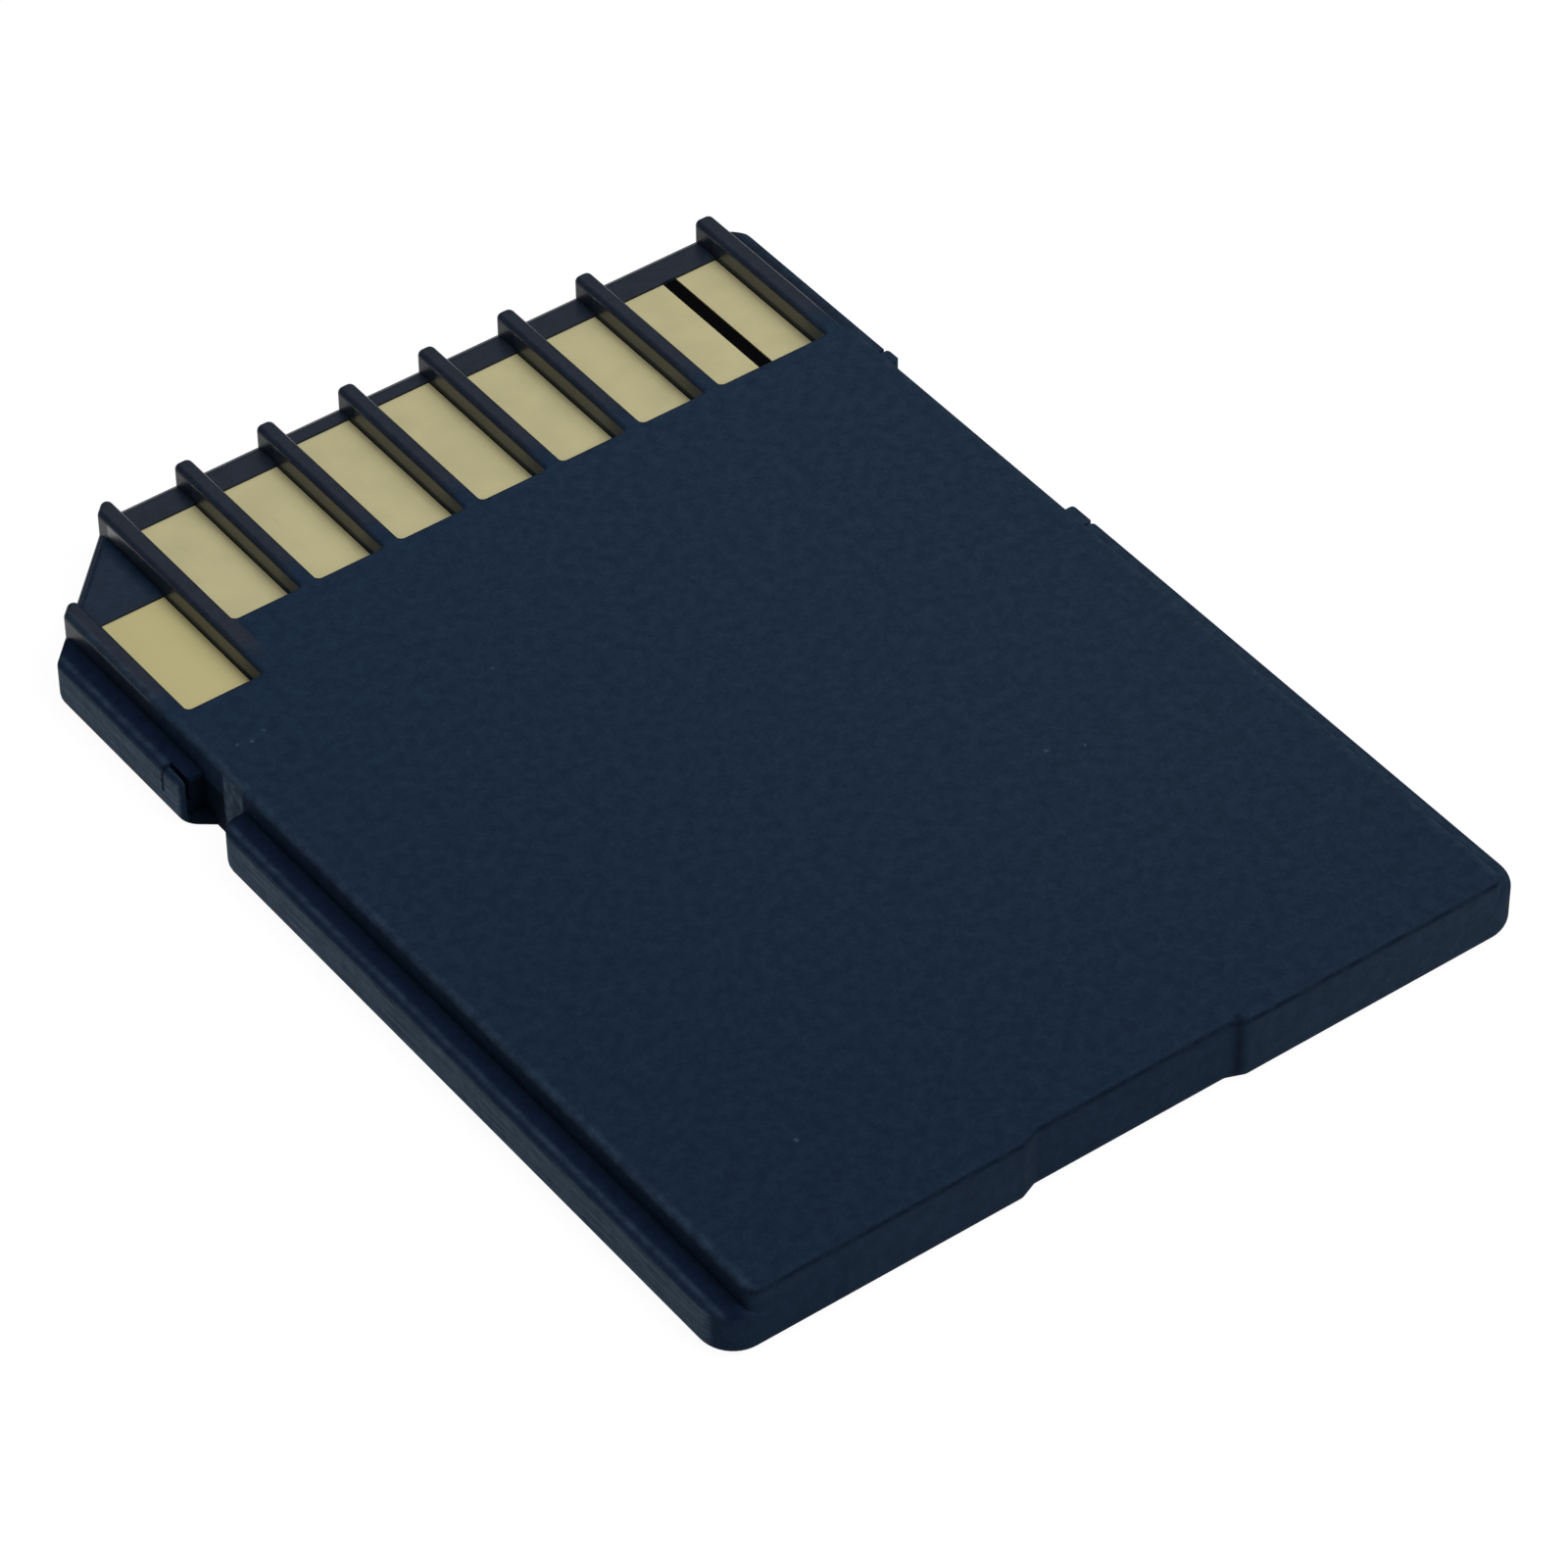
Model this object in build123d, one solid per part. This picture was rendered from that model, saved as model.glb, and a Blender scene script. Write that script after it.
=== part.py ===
from build123d import *
import math
import os

os.makedirs("parts", exist_ok=True)

# SD memory card lying on its label face: X across, Y along with the contact end at +Y, Z up. Millimetres.

# Outside of the card
card_width = 24.0
card_length = 32.0
card_thickness = 2.1
rail_height = 1.4
rail_width = 0.77
corner_cut = 3.97
corner_radius = 1.0
cut_corner_radius = 0.5
label_edge_radius = 0.4
face_edge_radius = 0.15
face_corner_radius = 0.3
rail_edge_radius = 0.15
parting_height = 0.65

# Shallow thumb recess in the rear edge
recess_mouth = 6.7
recess_floor = 5.7
recess_depth = 0.2
recess_blend = 0.2

# Row of contact windows, counted from the contact end
row_left_margin = 0.57
row_right_margin = 0.685
rib_width = 0.515
window_reach = 5.87
strip_width = 1.0
long_strip_width = 0.585
pad_depth = 0.7
strip_depth = 0.64
strip_edge_radius = 0.3
window_corner_radius = 0.13
tip_radius = 0.18
tip_limit = 0.4
single_window_count = 6
short_contact_count = 2
long_contact_count = 2
double_window_width = 3.405
double_gap_offset = 1.885
double_gap_width = 0.39

# Window of the contact beside the cut corner
corner_rib_width = 0.555
corner_window_width = 2.2
corner_window_reach = 7.98
corner_strip_width = 3.48

# Upper half of the rail beside the windows on the +X side is set in a little
rail_set_in = 0.15
face_set_in = 0.13
face_step_length = 0.6

# Retention notch in the -X side, placed from the contact end
notch_set_back = 9.38
notch_length = 1.82
notch_slant = 0.6
notch_corner_radius = 0.6

# Write-protect notch in the +X side, placed from the contact end
switch_set_back = 7.18
switch_length = 7.32
switch_depth = 1.1

# Posts of the label-side shell beside the notches
post_width = 0.2
side_post_width = 0.4
notch_post_length = 0.53
front_post_length = 0.45
rear_post_length = 0.75
post_gap = 0.08
post_edge_radius = 0.18
notch_post_gap = 0.13
notch_end_gap = 0.5
notch_sill = 0.25
notch_end_radius = 0.15

# Inside
floor_height = 0.36
pad_thickness = 0.04
board_thickness = 0.36
pad_clearance = 0.02
side_wall = 0.43
rear_wall = 0.7
cut_wall = 0.46
board_clearance = 0.05
switch_wall = 0.45
switch_wall_overlap = 0.5
board_post_diameter = 1.2
board_post_side_gap = 1.4
board_post_end_gap = 1.7
board_post_notch_gap = 1.5
board_post_strip_gap = 2.4
board_post_pitches = 3

# Label
label_margin = 1.8
label_thickness = 0.08
label_corner_radius = 0.6
label_clearance = 0.05

# Write-protect slider, drawn in its writable place at the contact end of the notch
slider_length = 4.2
slider_end_clearance = 0.06
slider_side_clearance = 0.06
slider_out = 0.4
slider_low = 0.12
slider_high = 1.3
slider_edge_radius = 0.1
grip_length = 0.8
grip_out = 0.12
grip_high = 0.75
web_length = 2.0
web_height = 0.25
foot_length = 3.0
foot_width = 0.4
foot_height = 0.54
foot_clearance = 0.1

# Chips and small parts under the board
flash_width = 12.0
flash_length = 15.0
flash_height = 0.55
flash_rear_gap = 1.1
chip_stand_off = 0.03
lead_count = 24
lead_pitch = 0.5
lead_width = 0.22
lead_thickness = 0.1
lead_reach = 1.0
lead_bend = 0.4
lead_rise = 0.15
controller_size = 5.5
controller_height = 0.5
controller_set_back = 6.6
small_part_gap = 0.6
capacitor_spacing = 1.5
resistor_spacing = 4.2
capacitor_length = 1.0
capacitor_width = 0.5
capacitor_height = 0.5
resistor_length = 2.0
resistor_width = 1.0
resistor_height = 0.35
part_edge_radius = 0.06

# Places worked out from the sizes above
half_width = card_width / 2
half_length = card_length / 2
face_width = card_width - 2 * rail_width
half_face = face_width / 2
cut_line = half_length + half_width - corner_cut
face_set_x = half_face - face_set_in
pad_top = card_thickness - pad_depth
board_top = pad_top - pad_thickness
board_low = board_top - board_thickness
strip_top = card_thickness - strip_depth
window_near_y = half_length - window_reach
strip_y = half_length - strip_width
long_strip_y = half_length - long_strip_width
corner_left = -half_face + row_left_margin
corner_right = corner_left + corner_window_width
first_left = corner_right + corner_rib_width
double_right = half_face - row_right_margin
double_left = double_right - double_window_width
contact_pitch = (double_left - first_left) / single_window_count
window_width = contact_pitch - rib_width
gap_left = double_left + double_gap_offset - double_gap_width / 2
gap_right = double_left + double_gap_offset + double_gap_width / 2
corner_near_y = half_length - corner_window_reach
corner_far_y = half_length - corner_strip_width
notch_front_y = half_length - notch_set_back
notch_rear_y = notch_front_y - notch_length
switch_front_y = half_length - switch_set_back
switch_rear_y = switch_front_y - switch_length
switch_inner_x = half_width - switch_depth
switch_wall_x = switch_inner_x - switch_wall
cavity_half_width = half_face - side_wall
cavity_rear_y = -half_length + rear_wall
cavity_cut_line = cut_line - cut_wall * math.sqrt(2)
tolerance = 0.001
overrun = 1.0
above = card_thickness + overrun
below = -overrun
beyond = half_length + overrun
outside = half_width + overrun


def block(x_from, x_to, y_from, y_to, z_from, z_to):
    """A plain box between the given limits."""
    middle = Pos((x_from + x_to) / 2, (y_from + y_to) / 2, (z_from + z_to) / 2)
    return middle * Box(x_to - x_from, y_to - y_from, z_to - z_from)


def prism(corners, z_from, z_to):
    """An upright prism on a polygon given by its corners."""
    sheet = make_face(Polyline(*corners, close=True))
    return extrude(Pos(0, 0, z_from) * sheet, z_to - z_from, dir=(0, 0, 1))


def rounded_at(sheet, places, radius):
    """The flat sheet with the corners nearest to the given places rounded."""
    chosen = []
    for place in places:
        spot = Vector(place[0], place[1], 0)
        chosen.append(min(sheet.vertices(), key=lambda corner: (Vector(*corner) - spot).length))
    return fillet(chosen, radius)


def corner_cutter(x, y, radius, toward_x, toward_y, z_from, z_to):
    """What the rounding of an upright corner takes off: a square at the corner less a round rod."""
    centre_x = x + toward_x * radius
    centre_y = y + toward_y * radius
    middle_z = (z_from + z_to) / 2
    square = Pos((x + centre_x) / 2, (y + centre_y) / 2, middle_z) * Box(radius, radius, z_to - z_from)
    return square - Pos(centre_x, centre_y, middle_z) * Cylinder(radius, z_to - z_from)


def cut_rectangle(side, rear, front, line):
    """Corners of a rectangle whose corner at -X, +Y is cut along y - x = line."""
    return [(-side, rear), (side, rear), (side, front), (front - line, front), (-side, line - side)]


def recess_corners():
    """Corners of the thumb recess in the rear edge, from -X to +X."""
    mouth = recess_mouth / 2
    floor = recess_floor / 2
    recess_y = -half_length + recess_depth
    return [(-mouth, -half_length), (-floor, recess_y), (floor, recess_y), (mouth, -half_length)]


def notch_corners():
    """Corners of the retention notch: slanted at the front, square at the rear, as deep as the rail."""
    front_end = [(-half_width, notch_front_y), (-half_face, notch_front_y - notch_slant)]
    rear_end = [(-half_face, notch_rear_y), (-half_width, notch_rear_y)]
    return front_end + rear_end


def rounded_slab():
    """The card up to the height of its rails: one corner cut, a side notch, corners and edges rounded."""
    square_corners = [(-half_width, -half_length), (half_width, -half_length), (half_width, half_length)]
    cut_corners = [(-half_width + corner_cut, half_length), (-half_width, half_length - corner_cut)]
    corners = square_corners[:1] + recess_corners() + square_corners[1:] + cut_corners + notch_corners()
    sheet = make_face(Polyline(*corners, close=True))
    sheet = rounded_at(sheet, square_corners, corner_radius)
    sheet = rounded_at(sheet, notch_corners()[-1:], notch_corner_radius)
    sheet = rounded_at(sheet, recess_corners(), recess_blend)
    sheet = rounded_at(sheet, cut_corners[1:], cut_corner_radius)
    solid = extrude(sheet, rail_height, dir=(0, 0, 1))
    lower_edges = []
    for edge in solid.edges().group_by(Axis.Z)[0]:
        middle = edge.center()
        if not notch_rear_y + tolerance < middle.Y < notch_front_y or middle.X > 0:
            lower_edges.append(edge)
    solid = fillet(lower_edges, label_edge_radius)
    return fillet(solid.edges().group_by(Axis.Z)[-1], rail_edge_radius)


def raised_corners(cut_start):
    """Corners of the raised face before the windows are cut out of it, given those where the cut starts."""
    rear_corners = [(-half_face, -half_length), (half_face, -half_length)]
    step_corners = [(half_face, window_near_y - face_step_length), (face_set_x, window_near_y)]
    front_corners = [(face_set_x, half_length)] + cut_start + [(-half_face, cut_line - half_face)]
    return rear_corners[:1] + recess_corners() + rear_corners[1:] + step_corners + front_corners


def front_edge_y(x):
    """How far the card reaches at the contact end, at a place across its width."""
    return min(half_length, cut_line + x)


def rib_sides():
    """Left and right side of each rib, from the wall at -X to the wall at +X."""
    lefts = [-half_face, corner_right] + [right for left, right, front in window_spans()]
    rights = [corner_left] + [left for left, right, front in window_spans()] + [face_set_x]
    return list(zip(lefts, rights))


def raised_comb():
    """The raised face with its ribs: a comb in plan, with rounded roots, tips and upper edges."""
    cut_start = [(first_left, half_length), (first_left, cut_line + first_left)]
    sheet = make_face(Polyline(*raised_corners(cut_start), close=True))
    openings = [(corner_left, corner_right, corner_near_y)]
    for left, right, front in window_spans():
        openings.append((left, right, window_near_y))
    for left, right, near in openings:
        place = Pos((left + right) / 2, (near + beyond) / 2)
        sheet = sheet - place * Rectangle(right - left, beyond - near)
    for left, right, near in openings:
        sheet = rounded_at(sheet, [(left, near), (right, near)], window_corner_radius)
    for left, right in rib_sides():
        tip = [(left, front_edge_y(left)), (right, front_edge_y(right))]
        sheet = rounded_at(sheet, tip, min(tip_radius, tip_limit * (right - left)))
    sheet = rounded_at(sheet, [(-half_face, -half_length), (half_face, -half_length)], face_corner_radius)
    sheet = rounded_at(sheet, recess_corners(), recess_blend)
    comb = extrude(Pos(0, 0, parting_height) * sheet, card_thickness - parting_height, dir=(0, 0, 1))
    return fillet(comb.edges().group_by(Axis.Z)[-1], face_edge_radius)


def strip_plate():
    """The level between the ribs at the contact end, its outer edges rounded."""
    sheet = make_face(Polyline(*raised_corners([(half_length - cut_line, half_length)]), close=True))
    plate = extrude(Pos(0, 0, parting_height) * sheet, strip_top - parting_height, dir=(0, 0, 1))
    edges = []
    for edge in plate.edges().group_by(Axis.Z)[-1]:
        middle = edge.center()
        on_front = abs(middle.Y - half_length) < tolerance
        on_cut = abs(middle.Y - middle.X - cut_line) < tolerance
        if on_front or on_cut:
            edges.append(edge)
    plate = fillet(edges, strip_edge_radius)
    return plate & block(-outside, outside, corner_near_y, beyond, below, above)


def window_spans():
    """Left side, right side and front end of each window but the corner one, contacts 7 and 8 together."""
    spans = []
    long_ones = range(short_contact_count, short_contact_count + long_contact_count)
    for index in range(single_window_count):
        left = first_left + index * contact_pitch
        front = long_strip_y if index in long_ones else strip_y
        spans.append((left, left + window_width, front))
    spans.append((double_left, double_right, strip_y))
    return spans


def cavity_prism(z_from, z_to):
    """The space inside the card between two heights."""
    corners = cut_rectangle(cavity_half_width, cavity_rear_y, long_strip_y, cavity_cut_line)
    return prism(corners, z_from, z_to)


slab = rounded_slab()
switch_notch = block(switch_inner_x, outside, switch_rear_y, switch_front_y, below, rail_height)
switch_wall_rear = switch_rear_y - switch_wall_overlap
switch_wall_front = switch_front_y + switch_wall_overlap
foot_outer = switch_wall_x - foot_clearance
foot_inner = foot_outer - foot_width
foot_top = floor_height + foot_height
track_inner = foot_inner - foot_clearance
track_top = foot_top + foot_clearance
slider_track = block(track_inner, switch_wall_x, switch_rear_y, switch_front_y, floor_height, track_top)

# Posts of the label-side shell, cut out of the whole card so that their outside is the rail's own
notch_post_front = notch_front_y + notch_post_length
notch_post_x = -half_width + post_width
notch_post = slab & block(-outside, notch_post_x, notch_rear_y, notch_post_front, parting_height, rail_height)
side_post_x = half_width - side_post_width
front_post_y = switch_front_y + front_post_length
rear_post_y = switch_rear_y - rear_post_length
front_post = slab & block(side_post_x, outside, switch_front_y, front_post_y, parting_height, rail_height)
rear_post = slab & block(side_post_x, outside, rear_post_y, switch_rear_y, parting_height, rail_height)
for post_end_y, inward in ((switch_front_y, 1), (front_post_y, -1)):
    front_post = front_post - corner_cutter(
        half_width, post_end_y, post_edge_radius, -1, inward, parting_height, rail_height
    )
for post_end_y, inward in ((rear_post_y, 1), (switch_rear_y, -1)):
    rear_post = rear_post - corner_cutter(
        half_width, post_end_y, post_edge_radius, -1, inward, parting_height, rail_height
    )

# Label-side shell
label_shell = slab & block(-outside, outside, -beyond, beyond, below, parting_height)
label_shell = label_shell - cavity_prism(floor_height, above)
label_shell = label_shell + notch_post + front_post + rear_post
label_shell = label_shell - switch_notch
notch_end_y = notch_front_y - notch_slant + notch_end_gap
notch_hollow = block(notch_post_x, -half_face, notch_rear_y, notch_end_y, notch_sill, rail_height)
label_shell = label_shell - notch_hollow
slider_slot = block(switch_wall_x, outside, switch_rear_y, switch_front_y, floor_height, parting_height)
label_shell = label_shell - slider_slot - slider_track
label_line = cut_line - label_margin * math.sqrt(2)
label_side = half_width - label_margin
label_rear = -half_length + label_margin
label_front = half_length - label_margin
label_recess = prism(cut_rectangle(label_side, label_rear, label_front, label_line), below, label_thickness)
label_recess = fillet(label_recess.edges().filter_by(Axis.Z), label_corner_radius)
label_shell = label_shell - label_recess
rear_place_x = cavity_half_width - board_post_side_gap
rear_place_y = cavity_rear_y + board_post_end_gap
front_place_x = board_post_pitches * contact_pitch
front_place_y = strip_y - board_post_strip_gap
post_places = [
    (-rear_place_x, rear_place_y),
    (rear_place_x, rear_place_y),
    (-rear_place_x, notch_rear_y - board_post_notch_gap),
    (rear_place_x - switch_wall, switch_rear_y - board_post_notch_gap),
    (-front_place_x, front_place_y),
    (front_place_x, front_place_y),
]
for place in post_places:
    pin = Pos(place[0], place[1], (floor_height + board_low) / 2)
    pin = pin * Cylinder(board_post_diameter / 2, board_low - floor_height)
    label_shell = label_shell + pin
export_step(label_shell, "parts/label_side_shell.step")

# Contact-side shell
contact_shell = slab & block(-outside, outside, -beyond, beyond, parting_height, above)
contact_shell = contact_shell + strip_plate() + raised_comb()
contact_cavity = cavity_prism(below, board_top)
contact_cavity = contact_cavity - block(
    switch_wall_x, outside, switch_wall_rear, switch_wall_front, below, above
)
contact_shell = contact_shell - contact_cavity - switch_notch - slider_track
for left, right, front in window_spans():
    contact_shell = contact_shell - block(left, right, window_near_y, front, below, strip_top)
contact_shell = contact_shell - block(
    corner_left, corner_right, corner_near_y, corner_far_y, below, strip_top
)
rail_set_x = half_width - rail_set_in
contact_shell = contact_shell - block(rail_set_x, outside, switch_front_y, beyond, below, above)
side_pocket_x = side_post_x - post_gap
contact_shell = contact_shell - block(
    side_pocket_x, outside, switch_front_y - post_gap, front_post_y + post_gap, below, rail_height
)
contact_shell = contact_shell - block(
    side_pocket_x, outside, rear_post_y - post_gap, switch_rear_y + post_gap, below, rail_height
)
notch_pocket_x = notch_post_x + notch_post_gap
notch_pocket = block(
    -outside, notch_pocket_x, notch_rear_y, notch_post_front + notch_post_gap, below, rail_height
)
notch_end_relief = block(-half_width, -half_face, notch_rear_y, notch_end_y, below, rail_height)
contact_shell = contact_shell - notch_pocket - notch_end_relief
contact_shell = contact_shell - corner_cutter(
    notch_pocket_x, notch_end_y, notch_end_radius, 1, 1, below, rail_height
)
rail_end_y = rear_post_y - post_gap
contact_shell = contact_shell - corner_cutter(
    half_width, rail_end_y, post_edge_radius, -1, -1, below, rail_height
)
export_step(contact_shell, "parts/contact_side_shell.step")

# Label
label_inset = label_clearance
label_sheet = prism(
    cut_rectangle(
        label_side - label_inset,
        label_rear + label_inset,
        label_front - label_inset,
        label_line - label_inset * math.sqrt(2),
    ),
    0,
    label_thickness,
)
label_sheet = fillet(label_sheet.edges().filter_by(Axis.Z), label_corner_radius)
export_step(label_sheet, "parts/label.step")

# Circuit board
board_side = cavity_half_width - board_clearance
board_front = long_strip_y - board_clearance
board_rear = cavity_rear_y + board_clearance
board_line = cavity_cut_line - board_clearance * math.sqrt(2)
board = prism(cut_rectangle(board_side, board_rear, board_front, board_line), board_low, board_top)
board = board - block(
    switch_wall_x - board_clearance,
    outside,
    switch_wall_rear - board_clearance,
    switch_wall_front + board_clearance,
    below,
    above,
)
export_step(board, "parts/circuit_board.step")


def pad(left, right, near, far):
    """One contact lying on the board inside its window."""
    x_from = left + pad_clearance
    x_to = right - pad_clearance
    return block(x_from, x_to, near + pad_clearance, far - pad_clearance, board_top, pad_top)


# Contacts
for number, (left, right, front) in enumerate(window_spans()[:single_window_count], start=1):
    export_step(pad(left, right, window_near_y, front), f"parts/contact_{number}.step")
export_step(pad(double_left, gap_left, window_near_y, strip_y), "parts/contact_7.step")
export_step(pad(gap_right, double_right, window_near_y, strip_y), "parts/contact_8.step")
export_step(pad(corner_left, corner_right, corner_near_y, corner_far_y), "parts/contact_9.step")

# Write-protect slider
slider_front = switch_front_y - slider_end_clearance
slider_rear = slider_front - slider_length
slider_middle = (slider_front + slider_rear) / 2
slider_inner = switch_inner_x + slider_side_clearance
slider_face = half_width - slider_out
thumb = block(slider_inner, slider_face, slider_rear, slider_front, slider_low, slider_high)
thumb = fillet(thumb.edges().group_by(Axis.X)[-1], slider_edge_radius)
grip_rear = slider_middle - grip_length / 2
grip_front = slider_middle + grip_length / 2
grip_low = slider_low + slider_edge_radius
grip = block(slider_inner, half_width - grip_out, grip_rear, grip_front, grip_low, grip_high)
grip = fillet(grip.edges().group_by(Axis.X)[-1], slider_edge_radius)
web_rear = slider_middle - web_length / 2
web_front = slider_middle + web_length / 2
web_outer = slider_face - slider_edge_radius
web = block(foot_inner, web_outer, web_rear, web_front, floor_height, floor_height + web_height)
foot_rear = slider_middle - foot_length / 2
foot_front = slider_middle + foot_length / 2
foot = block(foot_inner, foot_outer, foot_rear, foot_front, floor_height, foot_top)
export_step(thumb + grip + web + foot, "parts/write_protect_slider.step")

# Memory chip with its two rows of leads
flash_top = board_low - chip_stand_off
flash_low = flash_top - flash_height
flash_y = cavity_rear_y + flash_rear_gap + lead_reach + flash_length / 2
flash_front = flash_y + flash_length / 2
flash_side = flash_width / 2
flash = block(-flash_side, flash_side, flash_y - flash_length / 2, flash_front, flash_low, flash_top)
flash = fillet(flash.edges().group_by(Axis.Z)[0], part_edge_radius)
export_step(flash, "parts/flash_chip.step")
lead_level = (flash_low + flash_top) / 2
half_lead = lead_thickness / 2
lead_profile = [
    (flash_front, lead_level - half_lead),
    (flash_front + lead_bend, lead_level - half_lead),
    (flash_front + lead_bend + lead_rise, board_low - lead_thickness),
    (flash_front + lead_reach, board_low - lead_thickness),
    (flash_front + lead_reach, board_low),
    (flash_front + lead_bend + lead_rise - half_lead, board_low),
    (flash_front + lead_bend - half_lead, lead_level + half_lead),
    (flash_front, lead_level + half_lead),
]
lead_sheet = Plane.YZ * make_face(Polyline(*lead_profile, close=True))
one_lead = extrude(lead_sheet, lead_width / 2, dir=(1, 0, 0), both=True)
turn = Pos(0, flash_y, 0) * Rot(0, 0, 180) * Pos(0, -flash_y, 0)
leads = []
for index in range(lead_count):
    lead_x = (index - (lead_count - 1) / 2) * lead_pitch
    leads.append(Pos(lead_x, 0, 0) * one_lead)
    leads.append(turn * Pos(lead_x, 0, 0) * one_lead)
export_step(Part() + leads, "parts/flash_chip_leads.step")

# Controller chip and small parts, lying flat under the board
half_controller = controller_size / 2
controller_y = half_length - controller_set_back
controller = block(
    -half_controller,
    half_controller,
    controller_y - half_controller,
    controller_y + half_controller,
    board_low - controller_height,
    board_low,
)
controller = fillet(controller.edges().group_by(Axis.Z)[0], part_edge_radius)
export_step(controller, "parts/controller_chip.step")


def small_part(x, y, length, width, height):
    """A small flat part under the board, its long side along X, lower edges rounded."""
    body = block(x - length / 2, x + length / 2, y - width / 2, y + width / 2, board_low - height, board_low)
    return fillet(body.edges().group_by(Axis.Z)[0], part_edge_radius)


capacitor_x = half_controller + small_part_gap + capacitor_length / 2
capacitor_front_y = controller_y + capacitor_spacing / 2
capacitor_rear_y = controller_y - capacitor_spacing / 2
capacitor_places = [
    (-capacitor_x, capacitor_front_y),
    (-capacitor_x, capacitor_rear_y),
    (capacitor_x, capacitor_front_y),
]
for number, (x, y) in enumerate(capacitor_places, start=1):
    capacitor = small_part(x, y, capacitor_length, capacitor_width, capacitor_height)
    export_step(capacitor, f"parts/capacitor_{number}.step")
resistor_y = controller_y + half_controller + small_part_gap + resistor_width / 2
resistor_places = [(-resistor_spacing / 2, resistor_y), (resistor_spacing / 2, resistor_y)]
for number, (x, y) in enumerate(resistor_places, start=1):
    resistor = small_part(x, y, resistor_length, resistor_width, resistor_height)
    export_step(resistor, f"parts/resistor_array_{number}.step")
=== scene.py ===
"""Looks of a flat memory card: finishes for its moulded, plated and laid-on pieces, with light and shade
painted on the shells, and a pale stage.
"""

import math

import bpy
import numpy as np
from bpy.props import FloatProperty, FloatVectorProperty, PointerProperty
from mathutils import Matrix, Vector


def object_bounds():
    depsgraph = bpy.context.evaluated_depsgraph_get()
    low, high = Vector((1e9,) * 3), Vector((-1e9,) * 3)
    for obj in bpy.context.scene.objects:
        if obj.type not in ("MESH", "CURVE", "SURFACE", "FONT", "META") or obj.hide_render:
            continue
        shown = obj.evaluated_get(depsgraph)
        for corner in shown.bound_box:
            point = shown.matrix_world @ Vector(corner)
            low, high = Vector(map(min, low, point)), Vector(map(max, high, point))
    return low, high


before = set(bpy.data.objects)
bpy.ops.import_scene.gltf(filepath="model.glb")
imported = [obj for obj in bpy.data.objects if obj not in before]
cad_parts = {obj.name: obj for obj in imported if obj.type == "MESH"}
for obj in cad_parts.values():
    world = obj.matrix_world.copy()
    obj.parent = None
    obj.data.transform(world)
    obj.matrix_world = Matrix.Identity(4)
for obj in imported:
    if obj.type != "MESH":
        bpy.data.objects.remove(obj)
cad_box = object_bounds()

bl_info = {
    "name": "Memory card looks",
    "version": (1, 0, 0),
    "blender": (4, 5, 0),
    "location": "View3D > Sidebar > Card",
    "description": "Finishes the pieces of a flat memory card and sets a plain stage for it",
    "category": "Material",
}

SHELLS = ("contact_side_shell", "label_side_shell")
CONTACTS = tuple(f"contact_{number}" for number in range(1, 10))
CHIPS = ("flash_chip", "controller_chip")
CAPACITORS = tuple(f"capacitor_{number}" for number in range(1, 4))
RESISTORS = tuple(f"resistor_array_{number}" for number in range(1, 3))

# Limits of the card in its own frame
HALF_WIDTH = float(cad_box[1][0])
REAR = float(cad_box[0][1])
FRONT = float(cad_box[1][1])
TOP = float(cad_box[1][2])

# Specks of dust on the contact face: place across and along the card, and radius
SPECKS = (
    (-0.00753, -0.01275, 0.000085),
    (0.00521, -0.00588, 0.00008),
    (0.0061, -0.00629, 0.00006),
    (-0.00384, 0.00469, 0.00006),
    (-0.01041, 0.00618, 0.00008),
    (-0.01005, 0.00608, 0.00009),
    (-0.00961, 0.00623, 0.00007),
)
SPECK_CORE = 0.3

# Noise: the span that most of its values keep to, and the shares that they stand for
NOISE_SPAN = (0.3, 0.7)
PATCH_SPAN = (0.35, 0.65)
RAIL_STREAKS = (0.3, 0.65, 0.45, 1.0)
RAIL_HIGHLIGHT_PATCHES = (*PATCH_SPAN, 0.6, 1.0)
RIM_HIGHLIGHT_PATCHES = (*PATCH_SPAN, 0.4, 1.0)
NOTCH_PATCHES = (0.35, 0.7, 0.3, 0.8)
REAR_LINE_BREAKS = (0.38, 0.6, 0.45, 1.0)
SPECK_EDGES = (*NOISE_SPAN, 0.5, 1.8)
GOLD_SCUFFS = (0.66, 0.74, 0.0, 0.25)

# Noise drawn out into streaks along the card, and scuffs at a slant to it
RAIL_STRETCH = (1.0, 0.03, 1.0)
WIPE_STRETCH = (1.0, 0.04, 1.0)
SCUFF_STRETCH = (1.0, 0.35, 1.0)
SCUFF_TURN = (0.0, 0.0, 0.9)
SCUFF_WIDTH = 0.0009

# Shares of painted light, painted sheen and painted shade at the two ends of a stretch, and the share of
# tarnish
FLOOR_LIGHT_ALONG = (0.7, 1.0)
SHEEN_ACROSS = (0.0, 0.5)
SHEEN_ALONG = (0.55, 1.0)
REAR_LIGHT_ACROSS = (0.2, 0.6)
FRONT_SHEEN_ALONG = (0.0, 0.4)
TROUGH_SHADE_FADE = (1.0, 0.3)
RECESS_SHADE_SPAN = (0.8, 0.0)
TARNISH_SHARE = 0.8

# Factors on the colours of the shells and the plating
FRONT_SHEEN = 1.7
POCKET_SHADE = 0.35
REAR_LINE_SHADE = 0.5
RECESS_SHADE = 0.5
SCUFF_SHADE = 0.6
TARNISH_TINT = (1.0, 0.98, 0.84)
GOLD_CLOUDS = (0.96, 1.04)
MOULDING_CLOUDS = (0.93, 1.06)

# Roughness of grained plastic and of worn ribs, of plating between and on its lines, and a moulding's spread
SHELL_ROUGHNESS = (0.62, 0.3)
GOLD_ROUGHNESS = (0.42, 0.54)
ROUGHNESS_SPREAD = (-0.05, 0.06)
GOLD_METALLIC = 0.4

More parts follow.
